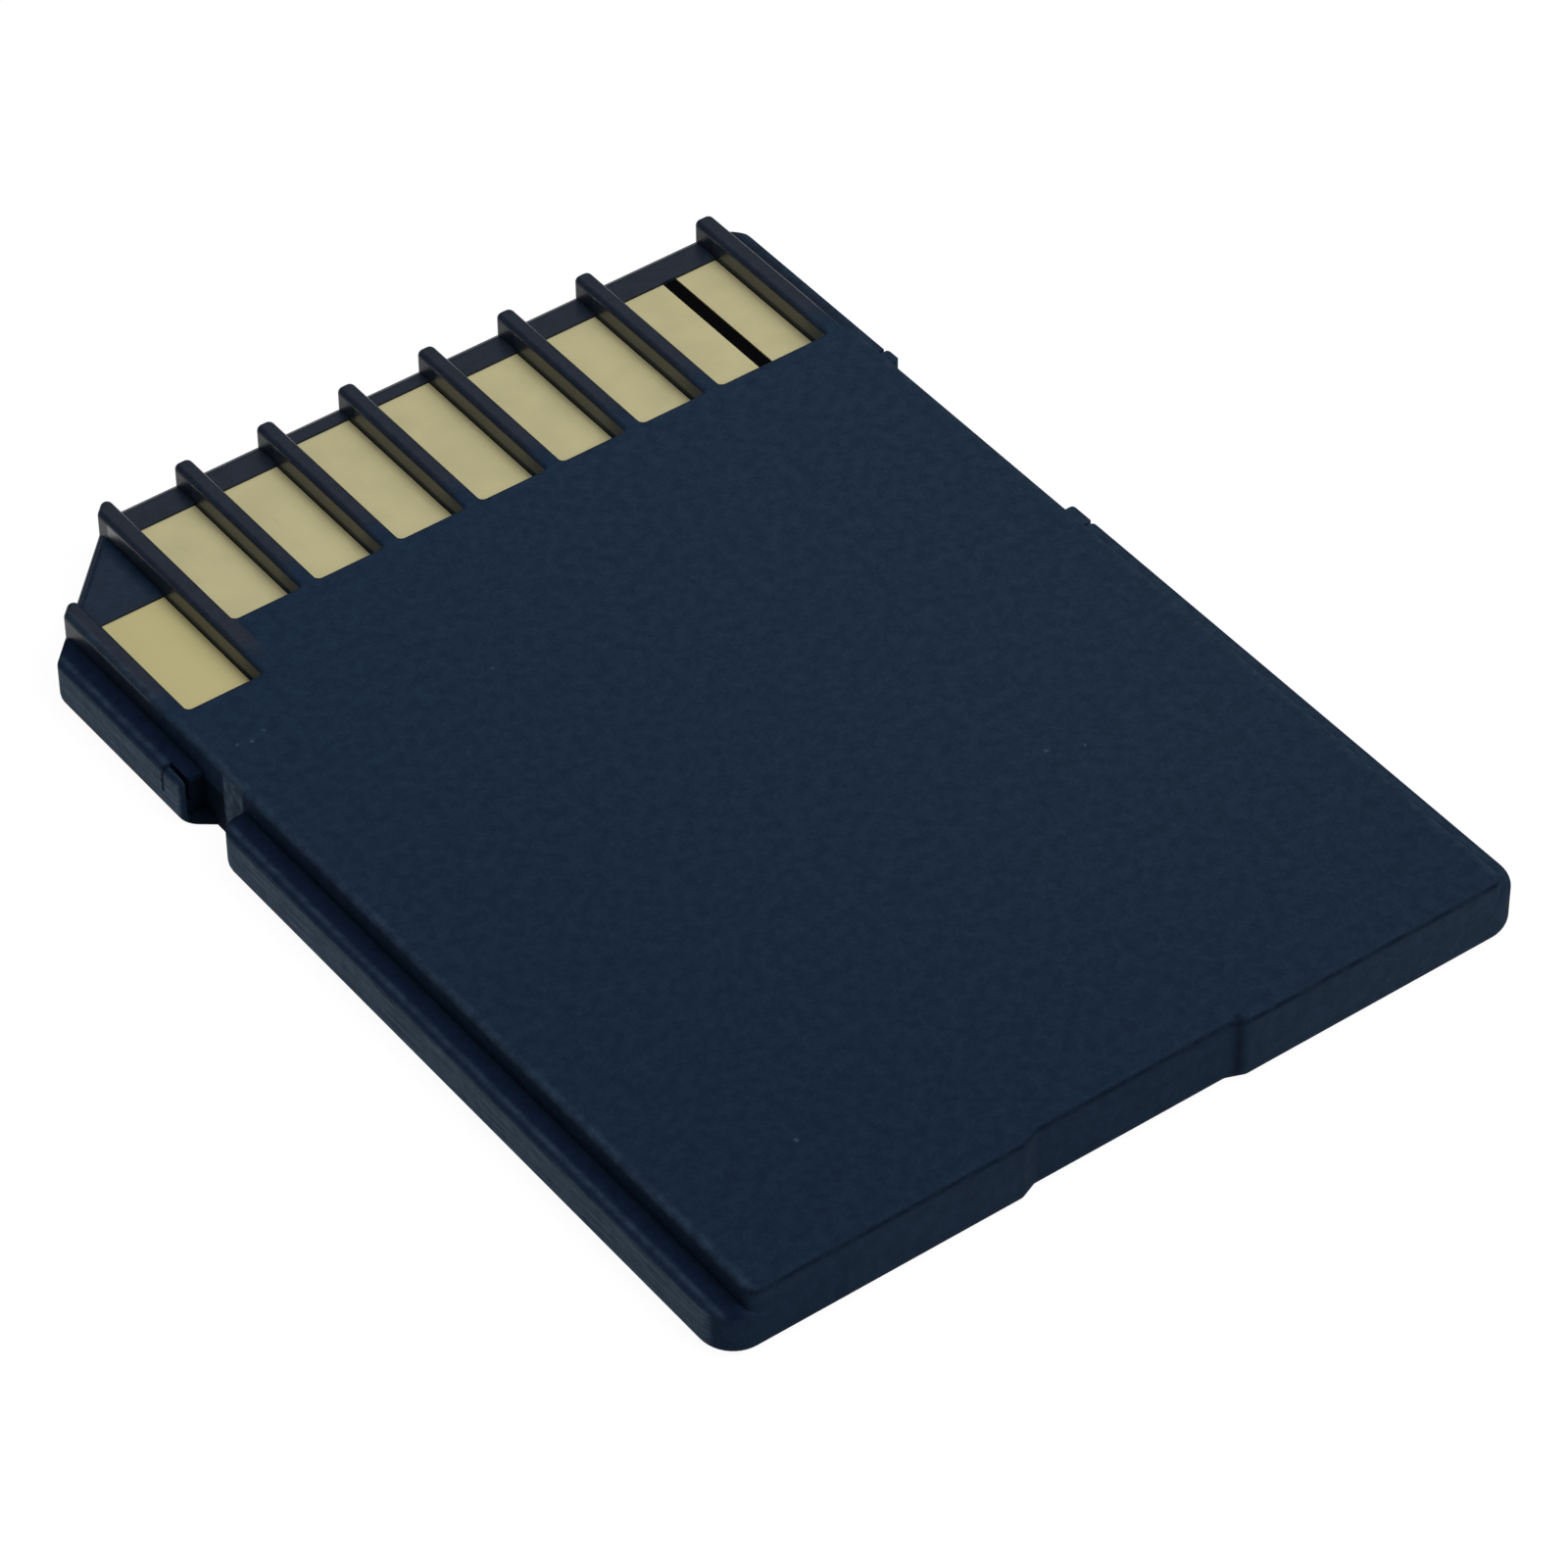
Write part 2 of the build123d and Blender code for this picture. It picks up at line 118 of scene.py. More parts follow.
# Widths of the clouds of colour in plating and mouldings, and depth of the lines wiped into the plating
GOLD_CLOUD_WIDTH = 0.0012
MOULDING_CLOUD_WIDTH = 0.0015
WIPE_DEPTH = 0.000001

# Lamps: name, direction from the card, distance, and the stage's values for size and power
LAMPS = (
    ("key_lamp", (0.2, -0.54, 0.82), 0.3, "key_size", "key_power"),
    ("top_panel", (0.0, 0.0, 1.0), 0.35, "panel_size", "top_power"),
    ("side_panel", (0.85, -0.25, 0.5), 0.35, "panel_size", "side_power"),
    ("left_panel", (-0.8, 0.1, 0.6), 0.35, "panel_size", "left_power"),
    ("back_panel", (0.43, 0.59, 0.68), 0.35, "panel_size", "back_power"),
)
WHITE = (1.0, 1.0, 1.0, 1.0)

# Floor: points along a side, and what is seen directly, part lit and part glow
FLOOR_STEPS = 9
FLOOR_LIT = (0.06, 0.06, 0.06, 1.0)
FLOOR_GLOW = 0.955

# Camera: width of its frame in millimetres, nearest and farthest things seen in metres
FRAME_WIDTH = 36.0
NEAREST = 0.005
FARTHEST = 10.0


def colour(name, description, default):
    """A colour that the user can change, as linear red, green and blue."""
    return FloatVectorProperty(
        name=name, description=description, subtype="COLOR", size=3, min=0.0, max=1.0, default=default
    )


def length(name, description, default):
    """A length in metres that the user can change."""
    return FloatProperty(name=name, description=description, unit="LENGTH", precision=6, default=default)


def amount(name, description, default):
    """A plain number that the user can change."""
    return FloatProperty(name=name, description=description, default=default)


class CardFinish(bpy.types.PropertyGroup):
    """Colours and grain of the card's own surfaces, and colours that paint light and shade on the shells."""

    shell: colour("Shell", "Moulded plastic of both shells", (0.0093, 0.0191, 0.0378))
    # Painted floor light: pale colour for the floor's light and reflection on the rails' outer faces and in
    # the -X notch
    painted_floor_light: colour("Rubbed plastic", "Shell plastic polished pale in card slots", (0.07, 0.104, 0.145))
    # Pale colour of painted sheen and painted highlights on the shells, and of painted light on the rear end
    painted_sheen: colour("Haze", "Shell plastic paled by handling", (0.0175, 0.031, 0.0525))
    # Painted shade on the -X rail beside the raised face
    trough_shade: colour("Crease", "Dirt on the rail beside the raised face", (0.0049, 0.0098, 0.025))
    # Ribs: partly worn plastic and partly painted sheen on the rib tops
    rib: colour("Ribs", "Worn plastic of the ribs and strips around the contacts", (0.0135, 0.0195, 0.0325))
    dust: colour("Dust", "Pale specks on the contact face", (0.035, 0.053, 0.08))
    gold: colour("Contact plating", "Thin gold over nickel", (0.58, 0.53, 0.295))
    slider: colour("Slider", "Moulded plastic of the write-protect slider", (0.17, 0.18, 0.2))
    label: colour("Label", "Unprinted film on the underside", (0.62, 0.64, 0.66))
    board: colour("Board", "Dark lacquer of the circuit board", (0.002, 0.002, 0.0025))
    chip: colour("Chip", "Moulded resin of the chips", (0.02, 0.02, 0.022))
    lead: colour("Leads", "Tinned metal of the chip's leads", (0.6, 0.6, 0.58))
    capacitor: colour("Capacitors", "Fired ceramic of the capacitors", (0.42, 0.3, 0.2))
    resistor: colour("Resistors", "Glazed top of the resistor arrays", (0.05, 0.05, 0.055))
    grain: length("Grain", "Width of one bump of the moulded grain", 0.00009)
    grain_height: length("Grain height", "Height of the moulded grain", 0.000004)
    mottle: length("Mottle", "Width of one blotch in the plastic", 0.00035)
    grain_depth: amount("Grain depth", "How far the grain changes the colour", 0.09)
    mottle_depth: amount("Mottle depth", "How far blotches change the colour", 0.11)
    brush: length("Brush line", "Width of one polishing line", 0.00006)
    sheen: amount("Sheen", "Gloss of the grained plastic", 0.008)
    rib_sheen: amount("Rib sheen", "Gloss of the ribs and strips", 0.12)
    wall_sheen: amount("Wall sheen", "Gloss of the walls beside contacts", 0.8)


class CardWearAndShade(bpy.types.PropertyGroup):
    """Where the card is worn smooth or tarnished, and where light and shade are painted on it."""

    rail_width: length("Rail width", "From the card's side to the raised face", 0.00077)
    rail_height: length("Rail height", "Height of the rails", 0.0014)
    strip_height: length("Strip height", "Height of the level between the ribs", 0.00146)
    window_reach: length("Window reach", "From the contact end to the near ends of the windows", 0.00587)
    corner_reach: length("Corner reach", "From the contact end to the corner window's near end", 0.00798)
    corner_side: length("Corner side", "Right side of the corner window's rib", -0.007905)
    wall_side: length("Wall side", "Right side of the wall along the corner window", -0.01066)
    low_side: length("Low side", "Left side of the rib that ends the corner window", -0.00846)
    tip_reach: length("Tip reach", "Length of the free tips of the ribs", 0.0009)
    # How far in from the card's sides the painted floor light reaches on the rails
    floor_light_reach: length("Rub reach", "How far in from the card's sides the rails are polished", 0.00012)
    line_reach: length("Line reach", "From the card's sides to the pale line on top of the rails", 0.00022)
    line_half: length("Line half-width", "Half the width of the pale line on top of the rails", 0.00014)
    recess_end: length("Recess end", "Middle of the slope at the +X end of the thumb recess", 0.0031)
    # Half the width of the painted shade at the recess's +X end
    recess_blend: length("Recess blend", "Half the width of the dirt at that end", 0.00022)
    # From the rear end to where the painted sheen across the card is full
    sheen_reach: length("Haze reach", "From the rear end to where the haze is full", 0.01)
    # Reaches of the painted shade on the -X rail: from the raised face to where it is darkest, and to where
    # it is faintest
    crease_middle: length("Crease middle", "From the raised face to the thickest dirt on the rail", 0.00025)
    crease_reach: length("Crease reach", "From the raised face to the thinnest dirt on the rail", 0.0009)
    # Width of the painted highlight on the face's rim and of the painted shade at the rear end
    rim_reach: length("Rim reach", "Width of the face's worn rim and of the marks on the rear end", 0.0003)
    line_depth: length("Line depth", "Middle of the rear line below the face", 0.00009)
    line_width: length("Line width", "Width of the rear line", 0.00018)
    # The side notch between these ends carries painted floor light
    notch_rear: length("Notch rear", "Rear end of the polished side notch", 0.00475)
    notch_front: length("Notch front", "Front end of the polished side notch", 0.0056)
    # Front end of the painted shade in the notch's pocket
    pocket_front: length("Pocket front", "Front end of the dirty pocket in the notch", 0.0068)
    post_side: length("Post side", "Right side of the post beside the notch", -0.0118)
    blend: length("Blend", "Softness of the limits", 0.00012)
    fade: length("Fade", "Softness of the near ends of the worn ribs", 0.0016)


class CardStage(bpy.types.PropertyGroup):
    """Camera, lamps and floor."""

    azimuth: amount("Azimuth", "Turn of the camera about the card", -36.4008)
    elevation: amount("Elevation", "Camera's angle above the floor", 43.1361)
    roll: amount("Roll", "Camera's turn about its own line of sight", -0.4332)
    distance: length("Distance", "From the camera to the point it looks at", 0.1734415)
    lens: amount("Lens", "Focal length in millimetres on a 36 mm frame", 162.6694)
    aim: FloatVectorProperty(
        name="Aim", description="Point that the camera looks at", subtype="TRANSLATION",
        size=3, precision=6, default=(0.0001024, -0.0020426, 0.001),
    )
    floor: colour("Floor", "Pale table under the card", (0.9, 0.9, 0.9))
    floor_size: length("Floor size", "Side of the floor", 2.0)
    key_power: amount("Key lamp", "Watts of the main lamp", 0.56)
    key_size: length("Key size", "Side of the main lamp's panel", 0.16)
    top_power: amount("Top lamp", "Watts of the soft panel overhead", 0.43)
    side_power: amount("Side lamp", "Watts of the soft panel at +X", 0.05)
    left_power: amount("Left lamp", "Watts of the soft panel at -X", 0.11)
    back_power: amount("Back lamp", "Watts of the soft panel behind", 0.09)
    panel_size: length("Panel size", "Side of the soft panels", 0.22)
    fill: amount("Fill", "Strength of the even light from all round", 0.06)


class Shader:
    """A material under construction: its node tree, its surface shader and short ways to add nodes."""

    def __init__(self, name):
        self.material = bpy.data.materials.new(name)
        self.material.use_nodes = True
        self.tree = self.material.node_tree
        self.surface = self.tree.nodes["Principled BSDF"]
        self.place = self.node("ShaderNodeTexCoord").outputs["Object"]

    def node(self, kind, **settings):
        made = self.tree.nodes.new(kind)
        for name, value in settings.items():
            setattr(made, name, value)
        return made

    def join(self, source, target):
        self.tree.links.new(source, target)

    def axis(self, name):
        """One of the object coordinates, in metres."""
        made = self.node("ShaderNodeSeparateXYZ")
        self.join(self.place, made.inputs["Vector"])
        return made.outputs[name]

    def stretched(self, scale, factor, turn=(0.0, 0.0, 0.0)):
        """Object coordinates turned and multiplied along each axis and by a common factor."""
        mapping = self.node("ShaderNodeMapping")
        mapping.inputs["Rotation"].default_value = turn
        mapping.inputs["Scale"].default_value = [part * factor for part in scale]
        self.join(self.place, mapping.inputs["Vector"])
        return mapping.outputs["Vector"]

    def noise(self, width, detail=2.0, vector=None):
        """Smooth noise whose lumps are about this wide, in metres unless a stretched vector is given."""
        made = self.node("ShaderNodeTexNoise")
        made.inputs["Scale"].default_value = 1.0 / width
        made.inputs["Detail"].default_value = detail
        self.join(vector or self.place, made.inputs["Vector"])
        return made.outputs["Fac"]

    def ramp(self, value, low, high, low_out=0.0, high_out=1.0):
        """The value carried smoothly from the span low..high to low_out..high_out, and held outside it."""
        made = self.node("ShaderNodeMapRange", interpolation_type="SMOOTHSTEP")
        names = ("From Min", "From Max", "To Min", "To Max")
        for name, limit in zip(names, (low, high, low_out, high_out)):
            made.inputs[name].default_value = limit
        self.join(value, made.inputs["Value"])
        return made.outputs["Result"]

    def math(self, operation, first, second):
        """Arithmetic on two values, each a socket or a number."""
        made = self.node("ShaderNodeMath", operation=operation)
        for socket, value in zip(made.inputs, (first, second)):
            if isinstance(value, (int, float)):
                socket.default_value = value
            else:
                self.join(value, socket)
        return made.outputs["Value"]

    def mix(self, share, first, second):
        """One colour giving way to another by share; each colour is a socket or three numbers."""
        made = self.node("ShaderNodeMix", data_type="RGBA")
        self.join(share, made.inputs["Factor"])
        for socket, value in zip((made.inputs[6], made.inputs[7]), (first, second)):
            if isinstance(value, bpy.types.NodeSocket):
                self.join(value, socket)
            else:
                socket.default_value = (*value, 1.0)
        return made.outputs[2]

    def shaded(self, base, factor):
        """A colour made lighter or darker by a varying factor."""
        made = self.node("ShaderNodeVectorMath", operation="SCALE")
        self.join(base, made.inputs[0])
        self.join(factor, made.inputs["Scale"])
        return made.outputs["Vector"]

    def bump(self, height, depth):
        """Relief on the surface: the height, from 0 to 1, stands for depth metres."""
        made = self.node("ShaderNodeBump")
        made.inputs["Strength"].default_value = 1.0
        made.inputs["Distance"].default_value = depth
        self.join(height, made.inputs["Height"])
        self.join(made.outputs["Normal"], self.surface.inputs["Normal"])

    def set(self, **values):
        """Plain values of the surface shader's sockets, the underscores read as spaces."""
        for name, value in values.items():
            socket = self.surface.inputs[name.replace("_", " ")]
            socket.default_value = (*value, 1.0) if isinstance(value, tuple) else value

    def drive(self, socket, source):
        self.join(source, self.surface.inputs[socket])


def scaled(base, factor):
    """A colour made lighter or darker by a factor."""
    return tuple(float(part) * factor for part in base)


def dress(shader, *nodes):
    """Gives the material to the named solids."""
    for name in nodes:
        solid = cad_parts[name]
        solid.data.materials.clear()
        solid.data.materials.append(shader.material)


def half_space(shader, name, limit, blend, sign=1.0):
    """1 past a limit along an axis and 0 before it, or the other way round with sign -1, softly."""
    ends = (0.0, 1.0) if sign > 0.0 else (1.0, 0.0)
    return shader.ramp(shader.axis(name), limit - blend / 2, limit + blend / 2, *ends)


def product(shader, *shares):
    """All the shares multiplied together."""
    total = shares[0]
    for share in shares[1:]:
        total = shader.math("MULTIPLY", total, share)
    return total


def side_place(shader):
    """Distance from the card's middle line."""
    return shader.math("ABSOLUTE", shader.axis("X"), 0.0)


def face_edge(wear):
    """Distance of the raised face's sides from the card's middle line."""
    return HALF_WIDTH - wear.rail_width


def window_row(shader, wear):
    """The contact end of the card, fading in past the near ends of the windows."""
    return half_space(shader, "Y", FRONT - wear.window_reach + wear.fade / 2, wear.fade)


def painted_rail_floor_light(shader, finish, wear):
    """Painted floor light and reflection on the outer faces of the rails: how far they are paler, in streaks
    along the card.
    """
    reach = shader.ramp(side_place(shader), HALF_WIDTH - wear.floor_light_reach, HALF_WIDTH)
    lines = shader.noise(1.0, detail=3.0, vector=shader.stretched(RAIL_STRETCH, 1 / finish.brush))
    forward = shader.ramp(shader.axis("Y"), REAR, FRONT, *FLOOR_LIGHT_ALONG)
    below = half_space(shader, "Z", wear.rail_height - wear.blend / 2, wear.blend, -1.0)
    return product(shader, reach, forward, below, shader.ramp(lines, *RAIL_STREAKS))


def painted_rail_highlight(shader, finish, wear):
    """Painted highlight: a pale, uneven line along the upper outer edges of the rails, where their rounding
    catches the light.
    """
    middle = HALF_WIDTH - wear.line_reach
    inner = shader.ramp(side_place(shader), middle - wear.line_half, middle)
    outer = shader.ramp(side_place(shader), middle, middle + wear.line_half, 1.0, 0.0)
    above = half_space(shader, "Z", wear.rail_height - wear.blend, wear.blend)
    below = half_space(shader, "Z", wear.rail_height + wear.blend, wear.blend, -1.0)
    patches = shader.ramp(shader.noise(finish.mottle, detail=4.0), *RAIL_HIGHLIGHT_PATCHES)
    return product(shader, inner, outer, above, below, patches)


def notch_span(shader, wear, front):
    """The stretch along the side notch, from its rear end to the given front."""
    rear = half_space(shader, "Y", wear.notch_rear, wear.blend)
    return product(shader, rear, half_space(shader, "Y", front, wear.blend, -1.0))


def painted_notch_floor_light(shader, finish, wear):
    """Painted floor light on the side and edge of the raised face at the -X notch, in patches."""
    near = half_space(shader, "X", wear.blend - face_edge(wear), wear.blend, -1.0)
    patches = shader.ramp(shader.noise(finish.mottle, detail=2.0), *NOTCH_PATCHES)
    return product(shader, near, notch_span(shader, wear, wear.notch_front), patches)


def painted_pocket_shade(shader, wear):
    """Painted shade in the pocket between the notch's post and the raised face."""
    low = half_space(shader, "Z", wear.rail_height - wear.blend, wear.blend, -1.0)
    behind = half_space(shader, "X", wear.post_side, wear.blend)
    outside = half_space(shader, "X", wear.blend - face_edge(wear), wear.blend, -1.0)
    ahead = half_space(shader, "Y", wear.notch_front, wear.blend)
    span = product(shader, ahead, half_space(shader, "Y", wear.pocket_front, wear.blend, -1.0))
    return product(shader, low, behind, outside, span)


def window_zone(shader, wear):
    """The ribs and strips around the contacts, past the near ends of the windows, but not the underside."""
    row = window_row(shader, wear)
    corner = half_space(shader, "Y", FRONT - wear.corner_reach + wear.fade / 2, wear.fade)
    beside = half_space(shader, "X", wear.corner_side, wear.blend, -1.0)
    edge = face_edge(wear)
    left = half_space(shader, "X", -edge - wear.blend / 2, wear.blend)
    right = half_space(shader, "X", edge - wear.blend / 2, wear.blend, -1.0)
    above = half_space(shader, "Z", wear.rail_height / 2, wear.blend)
    return product(shader, left, right, above, shader.math("MAXIMUM", row, product(shader, corner, beside)))


def far_front(shader, wear, side):
    """The card's upper side beside the windows, past a place on the +X side."""
    above = half_space(shader, "Z", wear.rail_height - wear.blend, wear.blend)
    return product(shader, window_row(shader, wear), above, half_space(shader, "X", side, wear.blend))


def contact_walls(shader, wear):
    """The sides of the ribs beside the contacts, less the free tips and the wall at the corner window."""
    row = half_space(shader, "Y", FRONT - wear.window_reach, wear.blend)
    corner = half_space(shader, "Y", FRONT - wear.corner_reach, wear.blend)
    beside = half_space(shader, "X", wear.corner_side, wear.blend, -1.0)
    along = shader.math("MAXIMUM", row, product(shader, corner, beside))
    behind = half_space(shader, "Y", FRONT - wear.tip_reach, wear.blend, -1.0)
    under = half_space(shader, "Z", TOP - wear.blend, wear.blend, -1.0)
    over = half_space(shader, "Z", wear.strip_height + wear.blend, wear.blend)
    inside = half_space(shader, "X", wear.wall_side, wear.blend)
    return product(shader, along, behind, under, over, inside)


def painted_trough_shade(shader, wear):
    """Painted shade along the -X rail, darkest beside the raised face, and up its side, but not in the
    notch.
    """
    edge = face_edge(wear)
    middle = edge + wear.crease_middle
    outward = shader.ramp(side_place(shader), edge - wear.blend, middle)
    fade = shader.ramp(side_place(shader), middle, edge + wear.crease_reach, *TROUGH_SHADE_FADE)
    above = half_space(shader, "Z", wear.rail_height - wear.blend, wear.blend)
    below = half_space(shader, "Z", TOP - wear.blend, wear.blend, -1.0)
    clear = shader.math("SUBTRACT", 1.0, notch_span(shader, wear, wear.notch_front))
    left = half_space(shader, "X", 0.0, wear.blend, -1.0)
    return product(shader, outward, fade, above, below, clear, left)


def painted_recess_end_shade(shader, wear):
    """Painted shade in the +X end of the thumb recess in the rear end."""
    behind = half_space(shader, "Y", REAR + wear.rim_reach, wear.blend, -1.0)
    middle = wear.recess_end
    inner = shader.ramp(shader.axis("X"), middle - wear.recess_blend, middle)
    outer = shader.ramp(shader.axis("X"), middle, middle + wear.recess_blend, *RECESS_SHADE_SPAN)
    return product(shader, behind, inner, outer)


def painted_rim_highlight(shader, finish, wear):
    """Painted highlight on the rounded upper edges of the raised face along both rails, in patches, but not
    on the last rib.
    """
    edge = face_edge(wear)
    near_edge = shader.ramp(side_place(shader), edge - wear.rim_reach, edge - wear.blend)
    top = half_space(shader, "Z", TOP - wear.blend, wear.blend)
    patches = shader.ramp(shader.noise(finish.mottle, detail=4.0), *RIM_HIGHLIGHT_PATCHES)
    clear = shader.math("SUBTRACT", 1.0, far_front(shader, wear, 0.0))
    return product(shader, near_edge, top, patches, clear)


def painted_side_sheen(shader, wear):
    """Painted sheen over the card: none at its -X side, half at its +X side, less towards its rear end."""
    across = shader.ramp(shader.axis("X"), -HALF_WIDTH, HALF_WIDTH, *SHEEN_ACROSS)
    return product(shader, across, shader.ramp(shader.axis("Y"), REAR, REAR + wear.sheen_reach, *SHEEN_ALONG))


def painted_rear_light(shader, wear):
    """Painted light on the rear end, a little paler, more so towards its +X side."""
    behind = half_space(shader, "Y", REAR + wear.blend / 2, wear.blend, -1.0)
    across = shader.ramp(shader.axis("X"), 0.0, HALF_WIDTH, *REAR_LIGHT_ACROSS)
    return product(shader, behind, across)


def low_side(shader, wear):
    """The lower levels on the -X side: the one at the cut corner and the rail."""
    low = half_space(shader, "Z", wear.strip_height + wear.blend, wear.blend, -1.0)
    return product(shader, low, half_space(shader, "X", wear.low_side, wear.blend, -1.0))


def speckle(shader, finish, grain, mottle):
    """A factor about 1 for the colour of the plastic: fine grain over coarser blotches."""
    fine = shader.ramp(grain, *NOISE_SPAN, 1.0 - finish.grain_depth, 1.0 + finish.grain_depth)
    coarse = shader.ramp(mottle, *NOISE_SPAN, 1.0 - finish.mottle_depth, 1.0 + finish.mottle_depth)
    return product(shader, fine, coarse)


def painted_rear_edge_shade(shader, finish, wear):
    """Painted shade: a dark, broken line along the rounded upper edge of the rear end."""
    behind = half_space(shader, "Y", REAR + wear.rim_reach, wear.blend, -1.0)
    middle = TOP - wear.line_depth
    under = shader.ramp(shader.axis("Z"), middle - wear.line_width, middle)
    over = shader.ramp(shader.axis("Z"), middle, middle + wear.line_width / 2, 1.0, 0.0)
    broken = shader.ramp(shader.noise(finish.mottle, detail=4.0), *REAR_LINE_BREAKS)
    return product(shader, behind, under, over, broken)


def pale_specks(shader, finish):
    """Small ragged specks of dust at their places on the contact face."""
    ragged = shader.ramp(shader.noise(finish.brush, detail=2.0), *SPECK_EDGES)
    total = 0.0
    for x, y, radius in SPECKS:
        apart = shader.node("ShaderNodeVectorMath", operation="DISTANCE")
        shader.join(shader.place, apart.inputs[0])
        apart.inputs[1].default_value = (x, y, TOP)
        uneven = shader.math("MULTIPLY", apart.outputs["Value"], ragged)
        speck = shader.ramp(uneven, SPECK_CORE * radius, radius, 1.0, 0.0)
        total = shader.math("MAXIMUM", speck, total)
    return total


def shell_plastic(finish, wear):
    """Dark moulded plastic: fine grain and mottle, worn ribs and dust, with painted light and shade: sheen,
    highlights on edges, floor light on the rails and in the notch, and shade on the rail, in the pocket, in
    the recess and along the rear edge.
    """
    shader = Shader("moulded_shell")
    grain = shader.noise(finish.grain, detail=3.0)
    mottle = shader.noise(finish.mottle, detail=4.0)
    worn = window_zone(shader, wear)
    # Painted sheen: the shell colour grows paler towards the contact end
    forward = shader.ramp(shader.axis("Y"), REAR, FRONT, *FRONT_SHEEN_ALONG)
    # The +X rail's front beside the windows takes the rib colour, which darkens its lit rounding as painted
    # shade
    rail = far_front(shader, wear, face_edge(wear) - wear.blend / 2)
    base = shader.mix(forward, tuple(finish.shell), scaled(finish.shell, FRONT_SHEEN))
    # Painted sheen, paler towards the +X side
    base = shader.mix(painted_side_sheen(shader, wear), base, tuple(finish.painted_sheen))
    # Painted light on the rear end
    base = shader.mix(painted_rear_light(shader, wear), base, tuple(finish.painted_sheen))
    # Rib colour: partly worn plastic and partly painted sheen on the ribs, and painted shade on the +X
    # rail's front
    base = shader.mix(shader.math("MAXIMUM", worn, rail), base, tuple(finish.rib))
    base = shader.mix(low_side(shader, wear), base, tuple(finish.shell))
    # Painted floor light on the rails' outer faces
    base = shader.mix(painted_rail_floor_light(shader, finish, wear), base, tuple(finish.painted_floor_light))
    # Painted shade in the trough along the -X rail
    base = shader.mix(painted_trough_shade(shader, wear), base, tuple(finish.trough_shade))
    # Painted highlight along the rails' outer edges
    base = shader.mix(painted_rail_highlight(shader, finish, wear), base, tuple(finish.painted_sheen))
    # Painted shade in the notch's pocket
    base = shader.mix(painted_pocket_shade(shader, wear), base, scaled(finish.shell, POCKET_SHADE))
    # Painted floor light in the -X notch
    base = shader.mix(painted_notch_floor_light(shader, finish, wear), base, tuple(finish.painted_floor_light))
    # Painted highlight on the face's rounded rims
    base = shader.mix(painted_rim_highlight(shader, finish, wear), base, tuple(finish.painted_sheen))
    # Painted shade along the rear top edge
    base = shader.mix(painted_rear_edge_shade(shader, finish, wear), base, scaled(finish.shell, REAR_LINE_SHADE))
    # Painted shade at the recess's +X end
    base = shader.mix(painted_recess_end_shade(shader, wear), base, scaled(finish.shell, RECESS_SHADE))
    base = shader.shaded(base, speckle(shader, finish, grain, mottle))
    base = shader.mix(pale_specks(shader, finish), base, tuple(finish.dust))
    walls = contact_walls(shader, wear)
    gloss = shader.ramp(worn, 0.0, 1.0, finish.sheen, finish.rib_sheen)
    gloss = shader.math("ADD", gloss, shader.ramp(walls, 0.0, 1.0, 0.0, finish.wall_sheen))
    shader.drive("Base Color", base)
    shader.drive("Roughness", shader.ramp(worn, 0.0, 1.0, *SHELL_ROUGHNESS))
    shader.drive("Specular IOR Level", gloss)
    shader.bump(grain, finish.grain_height)
    return shader


def contact_plating(finish, wear):
    """Matt gold plating with fine lines along the card from being wiped, tarnished in the corner window."""
    shader = Shader("gold_plating")
    lines = shader.noise(1.0, detail=4.0, vector=shader.stretched(WIPE_STRETCH, 1 / finish.brush))
    cloud = shader.noise(GOLD_CLOUD_WIDTH, detail=2.0)
    dim, bright = (scaled(finish.gold, factor) for factor in GOLD_CLOUDS)
    shade = shader.mix(shader.ramp(cloud, *NOISE_SPAN), dim, bright)
    slanted = shader.stretched(SCUFF_STRETCH, 1 / SCUFF_WIDTH, SCUFF_TURN)
    scuffs = shader.noise(1.0, detail=5.0, vector=slanted)
    shade = shader.mix(shader.ramp(scuffs, *GOLD_SCUFFS), shade, scaled(finish.gold, SCUFF_SHADE))
    beside = half_space(shader, "X", wear.corner_side, wear.blend, -1.0)
    tarnish = tuple(part * share for part, share in zip(finish.gold, TARNISH_TINT))
    shade = shader.mix(shader.math("MULTIPLY", beside, TARNISH_SHARE), shade, tarnish)
    shader.drive("Base Color", shade)
    shader.drive("Roughness", shader.ramp(lines, *NOISE_SPAN, *GOLD_ROUGHNESS))
    shader.set(Metallic=GOLD_METALLIC)
    shader.bump(lines, WIPE_DEPTH)
    return shader


def plain_moulding(name, base, roughness, grain=0.00008, depth=0.000002, specular=0.4):
    """Moulded or fired stuff with a light grain and a little unevenness of colour."""
    shader = Shader(name)
    fine = shader.noise(grain, detail=3.0)
    cloud = shader.noise(MOULDING_CLOUD_WIDTH, detail=2.0)
    dim, bright = (scaled(base, factor) for factor in MOULDING_CLOUDS)
    shader.drive("Base Color", shader.mix(shader.ramp(cloud, *NOISE_SPAN), dim, bright))
    smooth, rough = (roughness + change for change in ROUGHNESS_SPREAD)
    shader.drive("Roughness", shader.ramp(fine, *NOISE_SPAN, smooth, rough))
    shader.set(Specular_IOR_Level=specular)
    shader.bump(fine, depth)
    return shader


class CARD_OT_mould_shells(bpy.types.Operator):
    """Gives both shells their grained plastic, with light and shade painted on it"""

    bl_idname = "card.mould_shells"
    bl_label = "Mould shells"

    def execute(self, context):
        dress(shell_plastic(context.scene.card_finish, context.scene.card_wear), *SHELLS)
        return {"FINISHED"}


